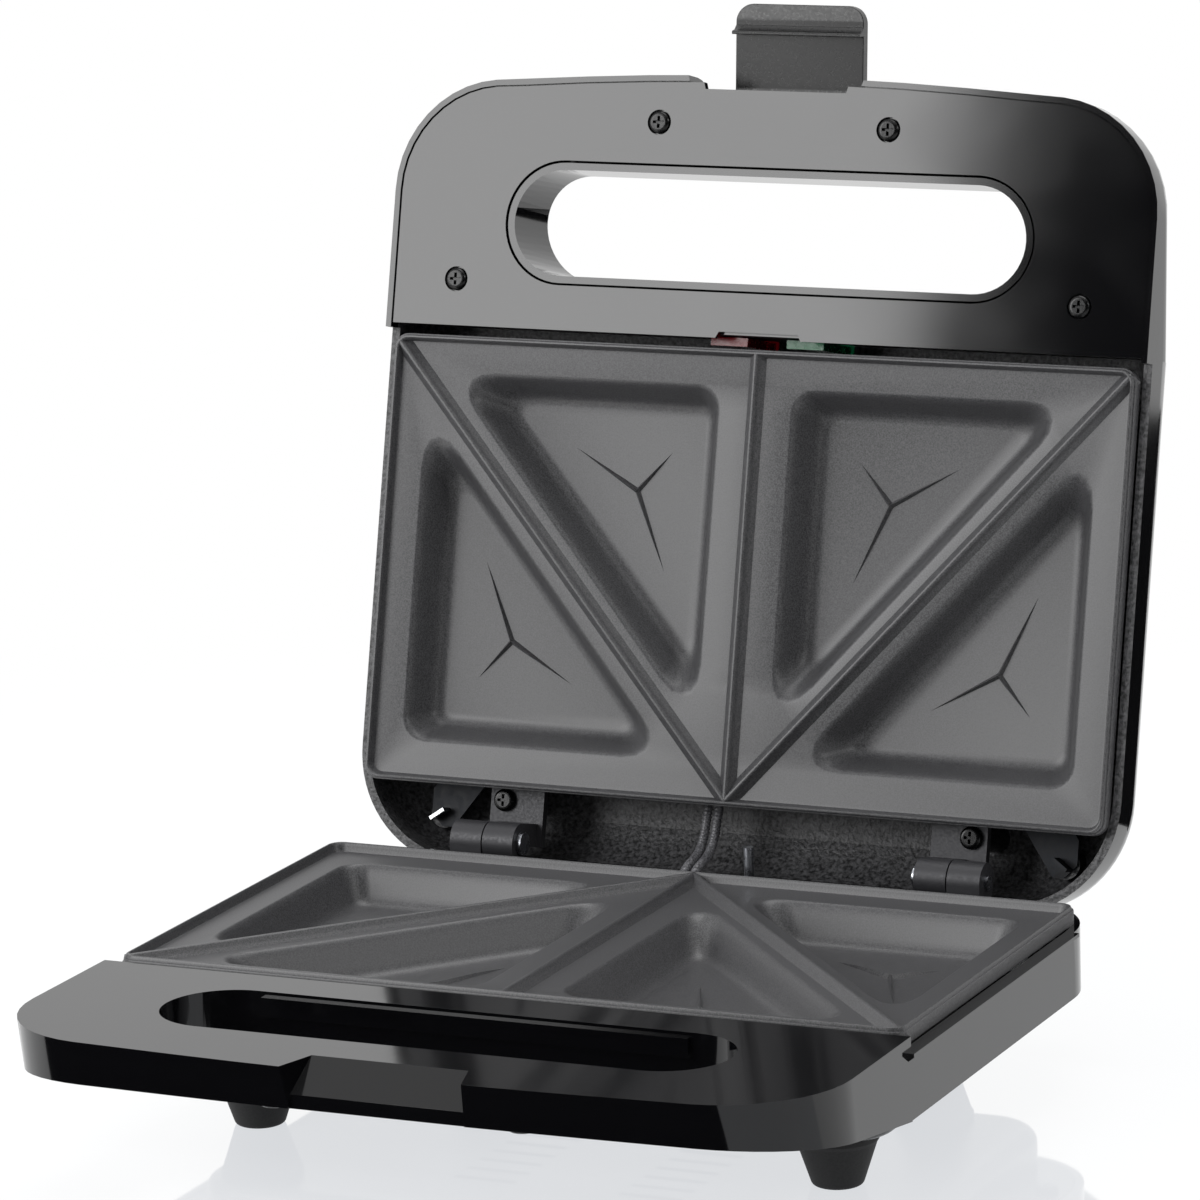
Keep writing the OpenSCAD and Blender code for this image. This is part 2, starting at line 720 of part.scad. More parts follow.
module base_bottom() {
    z0 = -base_wall_h;
    color("#161617") difference() {
        union() {
            translate([0, 0, z0]) linear_extrude(wall) intersection() {
                tub_outline(wall + fit, base_rear, base_r);
                translate([-half_w, -root_v + wall + fit]) square([2 * half_w, 200]);
            }
            flip() pan(belly_hw, -belly_front_v, -belly_rear_v, belly_r, base_wall_h - 1,
                belly_depth, belly_edge);
        }
        flip() pan(belly_hw - wall, -belly_front_v + wall, -belly_rear_v - wall, belly_r - wall,
            base_wall_h - wall - 1, belly_depth - wall, belly_edge - wall);
        pair() for (p = tub_screw_places) translate([p[0], -p[1], z0 - 1])
            cylinder(d = through_d, h = 5);
        translate([inlet_x, 0, inlet_z]) rotate([90, 0, 0]) cylinder(d = bush_d, h = 10);
        pair() for (i = [0:vent_count - 1]) translate([24, -40 - 8 * i, -belly_depth - 1])
            linear_extrude(6) square([18, 2.4], center = true);
        for (p = foot_places) translate([p[0], -p[1], -belly_depth - 1])
            cylinder(d = foot_stem_d + 0.1, h = 6);
    }
    color("#161617") {
        pair() for (p = stand_places) translate([p[0], -p[1], -belly_depth + wall - eps])
            cylinder(d = 6, h = belly_depth - wall + reflector_z);
        pair() translate([ear_place[0], -ear_place[1], z0 + wall - eps])
            cylinder(d = ear_boss_d - 2, h = ear_z - z0 - wall + eps);
        pair() difference() {
            translate([base_knuckle_x, -17, -belly_depth + wall - eps])
                cube([knuckle_len, 11, hinge_seat_z + belly_depth - wall + eps]);
            translate([base_knuckle_x + knuckle_len / 2, -hinge_screw_v, hinge_seat_z - 9])
                cylinder(d = thread_d, h = 10);
        }
    }
}

// Sloping cover under the base handle
module base_handle_cover() {
    color("#161617") difference() {
        on_slope() linear_extrude(cover_t)
            handle_outline(wall + fit, root_v + wall + 3 * fit, nose_draft + fit);
        translate([0, 0, -60]) linear_extrude(70)
            stadium(grip_reach, base_grip_r + tube_t + fit, -grip_v);
        base_bay(wall + fit);
        on_slope() pair() for (p = cover_screw_places) translate([p[0], -p[1], -1])
            cylinder(d = through_d, h = 5);
    }
}

module base_bottom_screws() {
    color("#2a2a2c") {
        on_slope() pair() for (p = cover_screw_places) translate([p[0], -p[1], 0])
            flip() pan_screw(slope_screw_len);
        pair() for (p = tub_screw_places) translate([p[0], -p[1], -base_wall_h])
            flip() pan_screw(tub_screw_len);
    }
}

thermostat_v = plate_rear_v + 37.2;
fuse_v = plate_front_v - 45.1;

module thermostat() {
    z = skirt_z - 0.1;
    color("#8d8f92") translate([0, -thermostat_v, z]) {
        translate([-7, -10, -9]) cube([14, 20, 5]);
        translate([0, 0, -4 - eps]) cylinder(d = 12, h = 4 + eps);
        for (y = [-8, 8]) translate([-2.5, y - 0.4, -14]) cube([5, 0.8, 5 + eps]);
    }
}

// Sleeved cut-out fuse in two clips under the land of a plate
module thermal_fuse(y) {
    z = skirt_z - 4;
    color("#d8d4c8") translate([0, y, z]) rotate([90, 0, 0]) tube(6, 4.2, 24);
    color("#c9a24a") translate([0, y + 4, z]) rotate([90, 0, 0]) {
        cylinder(d = 1, h = 32);
        translate([0, 0, 8]) cylinder(d = 4.1, h = 12);
    }
    color("#8d8f92") for (dy = [-5, -19]) translate([0, y + dy, z]) rotate([90, 0, 0])
        difference() {
            union() {
                cylinder(d = 7.6, h = 4);
                translate([-3.8, 0, 0]) cube([7.6, 3.9, 4]);
            }
            translate([0, 0, -1]) cylinder(d = 6.05, h = 6);
        }
}

block_size = [24, 13, 7.6];            // connector blocks at both ends of the leads
block_v = 29.5;

// Connector block on the floor of a housing, with two clamp screws
module connector_block(floor) {
    color("#e6e2d6") difference() {
        translate([lead_x - block_size[0] / 2, -block_v, floor]) cube(block_size);
        for (s = [-1, 1]) translate([lead_x + s * 7, -block_v + 6, floor + 3])
            cylinder(d = 4, h = 10);
    }
    color("#b9bcc0") for (s = [-1, 1]) translate([lead_x + s * 7, -block_v + 6, floor + 3])
        cylinder(d = 3.9, h = 3);
}

module cord_bush() {
    out_y = -belly_rear_v;
    color("#111112") translate([inlet_x, out_y, inlet_z]) rotate([90, 0, 0]) {
        translate([0, 0, -1.6]) tube(bush_d + 1.4, inlet_d, 1.5);
        translate([0, 0, -0.11]) tube(bush_d - 0.2, inlet_d, wall + 0.2);
        translate([0, 0, wall + 0.08]) tube(bush_d + 1.4, inlet_d, 1.5);
    }
}

// ---------------------------------------------------------------- hinge

knuckle_r = knuckle_d / 2;

module along_x(x, len, d) {
    translate([x, 0, -hinge_drop]) rotate([0, 90, 0]) cylinder(d = d, h = len);
}

// Bracket of the base on the right side: knuckle, upright and screwed foot
module base_hinge() {
    w = knuckle_len;
    x = base_knuckle_x;
    rear = base_rear - wall - fit;
    color("#232325") difference() {
        union() {
            along_x(x, w, knuckle_d);
            translate([x, -knuckle_r, hinge_seat_z]) cube([w, knuckle_r + rear,
                -hinge_drop - hinge_seat_z]);
            translate([x, -16.5, hinge_seat_z]) cube([w, 16.5 + rear, 2.6]);
        }
        along_x(x - 1, w + 2, pin_d + 2 * running);
        translate([x + w / 2, -hinge_screw_v, hinge_seat_z - 1]) cylinder(d = through_d, h = 5);
    }
}

lid_leaf_w = 9.5;
lid_leaf_t = 2.6;
lid_screw = [knuckle_x + 10.2, 11.5];
base_hinge_screw_len = 10;
lid_hinge_screw_len = 11;

// Bracket of the lid on the right side: knuckle, arm and screwed leaf
module lid_hinge() {
    w = knuckle_len - 0.2;
    x = knuckle_x;
    color("#232325") difference() {
        union() {
            along_x(x, w, knuckle_d);
            translate([x, -knuckle_r, -hinge_drop]) cube([w, knuckle_r + 1,
                lid_leaf_w + lid_leaf_t + hinge_drop]);
            translate([x - 1.6, -15.5, lid_leaf_w]) cube([16.3, 16.5, lid_leaf_t]);
        }
        along_x(x - 1, w + 2, pin_d + 2 * running);
        translate([lid_screw[0], -lid_screw[1], lid_leaf_w - 1]) cylinder(d = through_d, h = 5);
    }
}

module hinge_pin() {
    color("#a9acb0") {
        along_x(knuckle_x - 1.4, 1.2, pin_d + 2.4);
        along_x(knuckle_x - 0.5, 2 * knuckle_len + 1.6, pin_d);
    }
}

module base_hinge_screws() {
    color("#2a2a2c") pair() translate([base_knuckle_x + knuckle_len / 2, -hinge_screw_v,
        hinge_seat_z + lid_leaf_t]) pan_screw(base_hinge_screw_len);
}

module lid_hinge_screws() {
    color("#2a2a2c") pair() translate([lid_screw[0], -lid_screw[1], lid_leaf_w])
        flip() pan_screw(lid_hinge_screw_len);
}

stud_place = [13.9, 10.4];
stud_len = belly_depth + 4;

// Bright stud with a collar that the earth lead of the lid is fixed to
module earth_stud() {
    floor = -belly_depth + wall;
    color("#c9ccd0") translate([stud_place[0], -stud_place[1], floor + 0.1]) {
        cylinder(d = 6, h = 3);
        cylinder(d = 2.8, h = stud_len);
    }
}

// ---------------------------------------------------------------- leads to the lid

function lid_point(y, w) =
    let (v = w + hinge_drop)
    [y * cos(lid_open) + v * sin(lid_open), -y * sin(lid_open) + v * cos(lid_open) - hinge_drop];

// Route of the leads in the plane across the hinge, from block to block
lead_gap = 0.4;                        // clearance to the face of a block
lead_y = -block_v + 7.5;
lead_foot = -belly_depth + wall + block_size[2] + lead_gap;
lead_head = lid_h - wall - block_size[2] - lead_gap;
lead_low = [[lead_y, lead_foot], [lead_y + 0.2, lead_foot + 5.6], [-15.5, lead_foot + 13.1],
    [-7.5, -8], [0, -4.2]];
lead_high = [[-1, 7.5], [-6, 11], [-13, lead_head - 8], [lead_y + 0.8, lead_head - 5.6],
    [lead_y, lead_head]];
lead_route = concat(lead_low, [for (p = lead_high) lid_point(p[0], p[1])]);

function spline(p, i, t) =
    let (a = p[max(i - 1, 0)], b = p[i], c = p[i + 1], d = p[min(i + 2, len(p) - 1)])
    0.5 * (2 * b + (c - a) * t + (2 * a - 5 * b + 4 * c - d) * t * t
        + (3 * b - a - 3 * c + d) * t * t * t);

lead_sides = 8;
lead_steps = 3;

module jumper_lead(x) {
    n = len(lead_route) - 1;
    path = concat([for (i = [0:n - 1], k = [0:lead_steps - 1])
        spline(lead_route, i, k / lead_steps)], [lead_route[n]]);
    m = len(path);
    pts = [for (i = [0:m - 1])
        let (d = path[min(i + 1, m - 1)] - path[max(i - 1, 0)], u = d / norm(d))
        for (j = [0:lead_sides - 1]) let (a = 360 * j / lead_sides)
            [x + lead_d / 2 * cos(a), path[i][0] - lead_d / 2 * sin(a) * u[1],
                path[i][1] + lead_d / 2 * sin(a) * u[0]]];
    sides = [for (i = [0:m - 2], j = [0:lead_sides - 1]) let (k = (j + 1) % lead_sides)
        each [[i * lead_sides + j, i * lead_sides + k, (i + 1) * lead_sides + k],
            [i * lead_sides + j, (i + 1) * lead_sides + k, (i + 1) * lead_sides + j]]];
    caps = [[for (j = [lead_sides - 1:-1:0]) j],
        [for (j = [0:lead_sides - 1]) (m - 1) * lead_sides + j]];
    color("#3a3a3c") polyhedron(pts, concat(sides, caps));
}

// ---------------------------------------------------------------- feet

module foot(x, v) {
    h = parting_z - belly_depth;
    color("#0f0f10") translate([x, -v, -parting_z]) {
        rotate_extrude() polygon(concat([[0, 0], [foot_d / 2 - 1.5, 0]],
            arc([foot_d / 2 - 1.5, 1.5], 1.5, -90, -15, 5), [[foot_top_d / 2 - 0.6, h - 2.5],
            [foot_top_d / 2, h - 1.5], [foot_top_d / 2, h - 0.02], [0, h - 0.02]]));
        cylinder(d = foot_stem_d, h = h + wall - 0.2);
    }
}

// ---------------------------------------------------------------- lid mouldings

module lid_body(inset, root) {
    e = 9 - inset / 2;
    hw = half_w - inset;
    z2 = lid_h - inset;
    er = lid_edge_r - inset;
    side = arc([hw - er, z2 - er], er, 0, 90, 8);
    nose_z = lid_nose_h - inset;
    hull() {
        translate([0, -root, 0]) rotate([90, 0, 0]) linear_extrude(eps)
            polygon(concat([[-hw, lid_rim_w], [hw, lid_rim_w]], side,
                [for (i = [len(side) - 1:-1:0]) [-side[i][0], side[i][1]]]));
        translate([0, 0, lid_rim_w]) linear_extrude(eps) handle_outline(inset, root);
        for (a = [0:18:90]) translate([0, 0, nose_z - e + e * sin(a)]) linear_extrude(eps)
            intersection() {
                handle_outline(inset + e * (1 - cos(a)), root);
                translate([-half_w, -300]) square([2 * half_w, 300 - front_v + nose_r + 4]);
            }
    }
}

module lid_bay(grow) {
    translate([0, 0, cover_seat_w - 40 * (grow > 0 ? 0 : 1)]) linear_extrude(90)
        bay_outline(bay_hw + grow, latch_v - 6 - grow);
}

lens_size = [13, 9.6];
lens_x = 11.4;
lens_v = root_v + 1.4;
panel_hw = half_w - 26;

module lid_shell() {
    color("#1b1b1c") difference() {
        union() {
            difference() {
                union() {
                    lid_body(0, root_v - wall);
                    tub(half_w, root_v - 1, lid_rear, lid_r, steam_gap, lid_h, lid_edge_r);
                    pan(panel_hw, -(root_v - 16), -20, 16, lid_h - 3, lid_h + panel_h, 3);
                }
                lid_body(wall, root_v + wall);
                tub(half_w - wall, root_v, lid_rear - wall, lid_r - wall, -1,
                    lid_h - wall, lid_edge_r - wall);
                pan(panel_hw - wall, -(root_v - 16 - wall), -20 - wall, 16 - wall, lid_h - 4,
                    lid_h + panel_h - wall, 2);
                translate([0, 0, -1]) linear_extrude(cover_seat_w + 1)
                    handle_outline(rebate, root_v - 3);
            }
            intersection() {
                lid_body(0.5, root_v);
                union() {
                    grip_tube(inner_grip_r, cover_w + 0.4, 40);
                    lid_bay(wall);
                    pair() for (p = cover_screw_places) translate([p[0], -p[1], cover_seat_w])
                        cylinder(d = boss_d, h = 40);
                }
            }
            intersection() {
                tub(half_w - 1, root_v - 1, lid_rear - 1, lid_r - 1, steam_gap + 1, lid_h - 1,
                    lid_edge_r - 1);
                pair() {
                    translate([lid_screw[0], -lid_screw[1], lid_leaf_w + lid_leaf_t])
                        cylinder(d = boss_d, h = 40);
                    translate([ear_place[0], -ear_place[1], -ear_z])
                        cylinder(d = ear_boss_d, h = 40);
                }
            }
            pair() for (p = stand_places) translate([p[0], -p[1], -reflector_z])
                cylinder(d = 6, h = lid_h + panel_h - wall + 1 + reflector_z);
        }
        translate([0, 0, -1]) linear_extrude(90) stadium(grip_reach, inner_grip_r, -grip_v);
        lid_bay(0);
        pair() for (p = cover_screw_places) translate([p[0], -p[1], 0])
            cylinder(d = thread_d, h = 12);
        pair() translate([lid_screw[0], -lid_screw[1], 0]) cylinder(d = thread_d, h = 22);
        pair() translate([lens_x, -lens_v, lid_h - 6]) linear_extrude(20)
            rounded_rect(lens_size[0] / 2, -lens_size[1] / 2, lens_size[1] / 2, 2);
        translate([0, -latch_v, latch_w0]) rotate([0, 90, 0])
            translate([0, 0, -bay_hw - 5]) cylinder(d = latch_pin_d + 2 * running,
                h = 2 * bay_hw + 10);
    }
}

// Flat cover that closes the lid handle, with a notch over the lamps
module lid_handle_cover() {
    notch_hw = 13.8;
    color("#232324") difference() {
        translate([0, 0, cover_w]) linear_extrude(cover_t) difference() {
            handle_outline(rebate + fit, root_v - 1.1);
            stadium(grip_reach, grip_r, -grip_v);
            bay_outline(bay_hw, ledge_v - 0.2);
            polygon([[-notch_hw, -root_v + 3], [notch_hw, -root_v + 3],
                [notch_hw - 2, -root_v - 0.6], [-notch_hw + 2, -root_v - 0.6]]);
        }
        pair() for (p = cover_screw_places) translate([p[0], -p[1], 0]) {
            cylinder(d = through_d, h = 6);
            cylinder(d = screw_head_d + 0.6, h = cover_w + 1.4);
        }
    }
}

module lid_cover_screws() {
    color("#0d0d0e") pair() for (p = cover_screw_places)
        translate([p[0], -p[1], cover_w + 1.4]) flip() pan_screw(cover_screw_len);
}

// Lens in the top of the lid, with a light pipe down to the gap beside the plate
module lens(x, colour) {
    inner = lid_h - wall - 0.1;
    half = lens_size / 2 - [0.1, 0.1];
    color(colour) {
        translate([x, -lens_v, inner]) linear_extrude(wall + 0.9)
            rounded_rect(half[0], -half[1], half[1], 1.9);
        translate([x - 5.5, -root_v + 0.4, 8]) cube([11, 2.4, inner - 8 + eps]);
    }
}

lamp_d = 3;
lamp_v = root_v + 4.6;
lamp_w = lid_h - wall - 10;
lamp_len = 7.5;

module lamp(x) {
    color("#f1c9a0") translate([x, -lamp_v, lamp_w]) {
        cylinder(d = lamp_d, h = lamp_len - lamp_d / 2);
        translate([0, 0, lamp_len - lamp_d / 2]) sphere(d = lamp_d, $fn = 32);
    }
}

module lamp_holder() {
    color("#d9d6cc") translate([-18, -lamp_v - 2, lamp_w - 2.6]) cube([36, 4, 2.5]);
}

module latch_pin() {
    color("#a9acb0") translate([-bay_hw - 3.5, -latch_v, latch_w0]) rotate([0, 90, 0])
        cylinder(d = latch_pin_d, h = 2 * bay_hw + 7);
}

// ---------------------------------------------------------------- latch

latch_t = 3.2;
latch_barrel_r = 3.3;
latch_corner_r = 5;

// Side view of the latch as it hangs closed; x points forward, y down, pin at 0
module latch_profile() {
    inner = latch_reach;
    outer = latch_reach + latch_t;
    bend = 8;
    inside = 6;
    polygon(concat([[0, -latch_barrel_r]],
        arc([outer - bend, bend - latch_barrel_r], bend, -90, 0, 8),
        arc([outer - 1.2, latch_len - 1.2], 1.2, 0, 90, 4),
        [[inner + 0.6, latch_len], [inner, latch_len - 4], [inner, hook_s + 2.6],
            [inner - 1.4, hook_s + 1.3], [inner - 2.9, hook_s + 1], [inner - 3.2, hook_s + 0.7],
            [inner - 3.2, hook_s], [inner, hook_s]],
        arc([inner - inside, 9], inside, 0, -90, 8), [[0, latch_barrel_r]]));
    circle(r = latch_barrel_r);
}

module latch() {
    hw = latch_w / 2;
    color("#202022") difference() {
        intersection() {
            rotate([90, 0, -90]) translate([0, 0, -hw]) linear_extrude(latch_w)
                mirror([0, 1]) latch_profile();
            rotate([90, 0, 0]) translate([0, 0, -20]) linear_extrude(50) difference() {
                translate([-hw, -latch_len]) square([latch_w, latch_len + 20]);
                for (s = [-1, 1]) translate([s * (hw - latch_corner_r),
                    -latch_len + latch_corner_r]) difference() {
                    translate([s > 0 ? 0 : -6, -6]) square([6, 6]);
                    circle(r = latch_corner_r);
                }
            }
        }
        rotate([0, 90, 0]) translate([0, 0, -hw - 1])
            cylinder(d = latch_pin_d + 2 * running, h = latch_w + 2);
    }
}

// ---------------------------------------------------------------- pieces in place

at_base() base_housing();
at_base() base_bottom();
at_base() base_handle_cover();
at_base() base_bottom_screws();
at_base() color("#4a4a4b") cooking_plate();  // base_plate
at_base() plate_screws();  // base_plate_screws
at_base() color("#6f706f") heating_element();  // base_element
at_base() color("#9a9c9f") element_clamp();  // base_element_clamp
at_base() clamp_screw();  // base_clamp_screw
at_base() color("#b7babd") reflector();  // base_reflector
at_base() thermostat();
at_base() thermal_fuse(-fuse_v);  // base_thermal_fuse
at_base() connector_block(-belly_depth + wall);  // base_connector
at_base() cord_bush();
at_base() mirror([1, 0, 0]) base_hinge();  // base_hinge_left
at_base() base_hinge();  // base_hinge_right
at_base() base_hinge_screws();
at_base() mirror([1, 0, 0]) hinge_pin();  // hinge_pin_left
at_base() hinge_pin();  // hinge_pin_right
at_base() earth_stud();
at_base() jumper_lead(lead_x - lead_pitch / 2);  // jumper_lead_left
at_base() jumper_lead(lead_x + lead_pitch / 2);  // jumper_lead_right
at_base() foot(-foot_front_x, foot_front_v);  // foot_front_left
at_base() foot(foot_front_x, foot_front_v);  // foot_front_right
at_base() foot(-foot_rear_x, foot_rear_v);  // foot_rear_left
at_base() foot(foot_rear_x, foot_rear_v);  // foot_rear_right
at_lid() lid_shell();
at_lid() lid_handle_cover();
at_lid() lid_cover_screws();
at_lid() flip() color("#4a4a4b") cooking_plate();  // lid_plate
at_lid() flip() plate_screws();  // lid_plate_screws
at_lid() flip() color("#6f706f") heating_element();  // lid_element
at_lid() flip() color("#9a9c9f") element_clamp();  // lid_element_clamp
at_lid() flip() clamp_screw();  // lid_clamp_screw
at_lid() flip() color("#b7babd") reflector();  // lid_reflector
at_lid() flip() thermal_fuse(-fuse_v);  // lid_thermal_fuse
at_lid() flip() connector_block(-lid_h + wall);  // lid_connector
at_lid() mirror([1, 0, 0]) lid_hinge();  // lid_hinge_left
at_lid() lid_hinge();  // lid_hinge_right
at_lid() lid_hinge_screws();
at_lid() lens(-lens_x, "#b01018");  // power_lens
at_lid() lens(lens_x, "#0f8a4a");  // ready_lens
at_lid() lamp(-lens_x);  // power_lamp
at_lid() lamp(lens_x);  // ready_lamp
at_lid() lamp_holder();
at_lid() latch_pin();
at_latch() latch();
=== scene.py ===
import json
import math

import bmesh
import bpy
from mathutils import Matrix, Vector


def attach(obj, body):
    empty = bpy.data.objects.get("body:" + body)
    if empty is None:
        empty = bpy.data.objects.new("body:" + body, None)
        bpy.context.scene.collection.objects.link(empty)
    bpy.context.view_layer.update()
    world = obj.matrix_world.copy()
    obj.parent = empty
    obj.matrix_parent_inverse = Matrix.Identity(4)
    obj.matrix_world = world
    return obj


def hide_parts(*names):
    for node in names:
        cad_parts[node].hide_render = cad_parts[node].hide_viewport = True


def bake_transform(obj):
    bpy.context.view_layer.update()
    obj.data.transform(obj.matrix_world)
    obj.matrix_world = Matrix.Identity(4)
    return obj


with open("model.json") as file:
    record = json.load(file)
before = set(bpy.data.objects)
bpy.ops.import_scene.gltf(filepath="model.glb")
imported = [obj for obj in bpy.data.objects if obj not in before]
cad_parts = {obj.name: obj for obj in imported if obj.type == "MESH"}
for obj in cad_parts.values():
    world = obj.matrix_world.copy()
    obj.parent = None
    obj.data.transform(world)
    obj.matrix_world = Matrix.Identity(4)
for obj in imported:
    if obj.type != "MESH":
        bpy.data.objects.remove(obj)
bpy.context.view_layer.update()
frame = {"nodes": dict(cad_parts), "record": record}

MM = 0.001

# ---------------------------------------------------------------- places shared with the solids

HINGE = Vector((0, 70, 49.1))        # hinge axis in the standing frame, in mm
PARTING = 50.0                       # parting plane of the base
DROP = 0.9                           # hinge axis below the parting plane
OPEN = math.radians(104.3)           # the lid's angle from closed

BASE_PLACE = Matrix.Translation((0, HINGE.y, PARTING))
LID_PLACE = (Matrix.Translation(HINGE) @ Matrix.Rotation(-OPEN, 4, "X")
             @ Matrix.Translation((0, 0, DROP)))
FLIP = Matrix.Diagonal((1, 1, -1, 1))

# ---------------------------------------------------------------- camera

AZIMUTH, ELEVATION, ROLL = (math.radians(a) for a in (24.73, 12.38, -1.81))
TARGET = Vector((-5.5, 10.0, 134.9))
DISTANCE = 1716.2
FOCAL, SENSOR = 194.47, 36           # mm
NEAR_CLIP, FAR_CLIP = 0.05, 50       # m


def make_camera():
    back = Vector((math.sin(AZIMUTH) * math.cos(ELEVATION),
                   -math.cos(AZIMUTH) * math.cos(ELEVATION), math.sin(ELEVATION)))
    right = Vector((math.cos(AZIMUTH), math.sin(AZIMUTH), 0))
    up = back.cross(right)
    c, s = math.cos(ROLL), math.sin(ROLL)
    side, top = c * right + s * up, c * up - s * right
    data = bpy.data.cameras.new("camera")
    data.lens = FOCAL
    data.sensor_width = SENSOR
    data.clip_start, data.clip_end = NEAR_CLIP, FAR_CLIP
    cam = bpy.data.objects.new("camera", data)
    bpy.context.collection.objects.link(cam)
    place = Matrix((side, top, back)).transposed().to_4x4()
    place.translation = (TARGET + back * DISTANCE) * MM
    cam.matrix_world = place
    bpy.context.scene.camera = cam


make_camera()

# ---------------------------------------------------------------- materials


def linear(hex_colour):
    """Linear RGBA of an sRGB hex colour."""
    parts = [int(hex_colour[i:i + 2], 16) / 255 for i in (1, 3, 5)]
    return tuple(p / 12.92 if p <= 0.04045 else ((p + 0.055) / 1.055) ** 2.4
                 for p in parts) + (1.0,)


def add_node(tree, kind, links=None, **settings):
    """One node: settings by attribute or input name, links as input: (node, output)."""
    node = tree.nodes.new(kind)
    for key, value in settings.items():
        name = key.replace("_", " ")
        if hasattr(node, key) and key not in ("width", "height"):
            setattr(node, key, value)
        else:
            node.inputs[name].default_value = value
    for key, (source, output) in (links or {}).items():
        tree.links.new(source.outputs[output], node.inputs[key])
    return node


def new_material(name, colour, roughness, metallic=0.0, ior=1.5):
    """Material with its node tree and its shader."""
    mat = bpy.data.materials.new(name)
    mat.use_nodes = True
    shader = mat.node_tree.nodes["Principled BSDF"]
    shader.inputs["Base Color"].default_value = linear(colour)
    shader.inputs["Roughness"].default_value = roughness
    shader.inputs["Metallic"].default_value = metallic
    shader.inputs["IOR"].default_value = ior
    return mat, mat.node_tree, shader


def remap(tree, source, output, from_range=None, to_range=None, **settings):
    """Map Range node: what lies between from_range comes out between to_range."""
    node = add_node(tree, "ShaderNodeMapRange", {"Value": (source, output)}, **settings)
    for side, limits in (("From", from_range), ("To", to_range)):
        if limits:
            node.inputs[side + " Min"].default_value = limits[0]
            node.inputs[side + " Max"].default_value = limits[1]
    return node


def ray_is(tree, *kinds):
    """Link source that is 1 for rays of these kinds and 0 for others."""
    path = add_node(tree, "ShaderNodeLightPath")
    seen = (path, kinds[0])
    for kind in kinds[1:]:
        seen = (add_node(tree, "ShaderNodeMath", {0: seen, 1: (path, kind)},
                         operation="MAXIMUM"), 0)
    return seen


def grain(tree, shader, size_mm, height_mm, detail=2.0, rough=None, colours=None,
          spread=(0.35, 0.65)):
    """Noise of one grain size on Object coordinates: bump, and where asked roughness, colour."""
    place = add_node(tree, "ShaderNodeTexCoord")
    noise = add_node(tree, "ShaderNodeTexNoise", {"Vector": (place, "Object")},
                     Scale=1000.0 / size_mm, Detail=detail, Roughness=0.55)
    if height_mm:
        bump = add_node(tree, "ShaderNodeBump", {"Height": (noise, "Fac")},
                        Strength=1.0, Distance=height_mm * MM)
        tree.links.new(bump.outputs["Normal"], shader.inputs["Normal"])
    if rough:
        ramp = remap(tree, noise, "Fac", spread, rough)
        tree.links.new(ramp.outputs["Result"], shader.inputs["Roughness"])
    if colours:
        ramp = add_node(tree, "ShaderNodeValToRGB", {"Fac": (noise, "Fac")})
        for stop, position, colour in zip(ramp.color_ramp.elements, spread, colours):
            stop.position = position
            stop.color = linear(colour)
        tree.links.new(ramp.outputs["Color"], shader.inputs["Base Color"])


# Gloss black ABS from a polished tool: deep black, sharp reflections, faint long waviness
gloss_black, tree, shader = new_material("gloss_black_abs", "#08080a", 0.08, ior=1.5)
grain(tree, shader, 28, 0.02, detail=1, rough=(0.07, 0.1))

# The same plastic from a finely blasted tool: softer sheen on the lower covers and the latch
satin_black, tree, shader = new_material("satin_black_abs", "#0c0c0d", 0.3, ior=1.5)
grain(tree, shader, 0.8, 0.006, detail=2, rough=(0.26, 0.36))

# Spark-eroded black PBT inside the housings: dull and visibly pitted
rough_black, tree, shader = new_material("eroded_black_pbt", "#3c3c3e", 0.42, ior=1.5)
grain(tree, shader, 1.1, 0.3, detail=4, colours=("#202021", "#5e5e60"))

# Sprayed PTFE non-stick coat on cast aluminium: satin grey with fine light specks
nonstick, tree, shader = new_material("ptfe_nonstick_coat", "#37373a", 0.43, ior=1.62)
grain(tree, shader, 0.4, 0.018, detail=3, rough=(0.38, 0.5),
      colours=("#2a2a2c", "#565658"))

# Blackened zinc die casting: dark, slightly metallic, fine cast skin
black_zinc, tree, shader = new_material("blackened_zinc_casting", "#3a3a3d", 0.42, 0.3)
grain(tree, shader, 0.7, 0.02, detail=3, rough=(0.38, 0.55))

# Black oxide steel screws: dark oily sheen
black_oxide, tree, shader = new_material("black_oxide_steel", "#0a0a0b", 0.24, 0.4)
grain(tree, shader, 0.5, 0.008, detail=2, rough=(0.2, 0.3))

# Zinc plated steel: cool, bright, slightly cloudy
zinc, tree, shader = new_material("zinc_plated_steel", "#b9bcc2", 0.28, 1.0)
grain(tree, shader, 2.5, 0.004, detail=2, rough=(0.22, 0.38))

# Aluminised sheet: bright, with a soft rolled streak
sheet_metal, tree, shader = new_material("aluminised_sheet", "#c3c5c6", 0.32, 1.0)
grain(tree, shader, 3.0, 0.004, detail=2, rough=(0.26, 0.42))

# The same sheet made darker as painted shade, out at the ears inside the lid
painted_shade_sheet, tree, shader = new_material("sheet_with_painted_shade", "#232427", 0.5, 0.6)
grain(tree, shader, 2.0, 0.01, detail=3, rough=(0.42, 0.6), colours=("#18191b", "#303236"))

# Oxidised nickel steel sheath of the heating tube
sheath, tree, shader = new_material("oxidised_heater_sheath", "#5c5852", 0.5, 0.8)
grain(tree, shader, 1.4, 0.01, detail=3, rough=(0.4, 0.6), colours=("#4a453f", "#6f6a62"))

# Vulcanised rubber: matte black with a powdery skin
rubber, tree, shader = new_material("vulcanised_rubber", "#141415", 0.72, ior=1.5)
grain(tree, shader, 0.6, 0.015, detail=3, colours=("#101011", "#1c1c1d"))

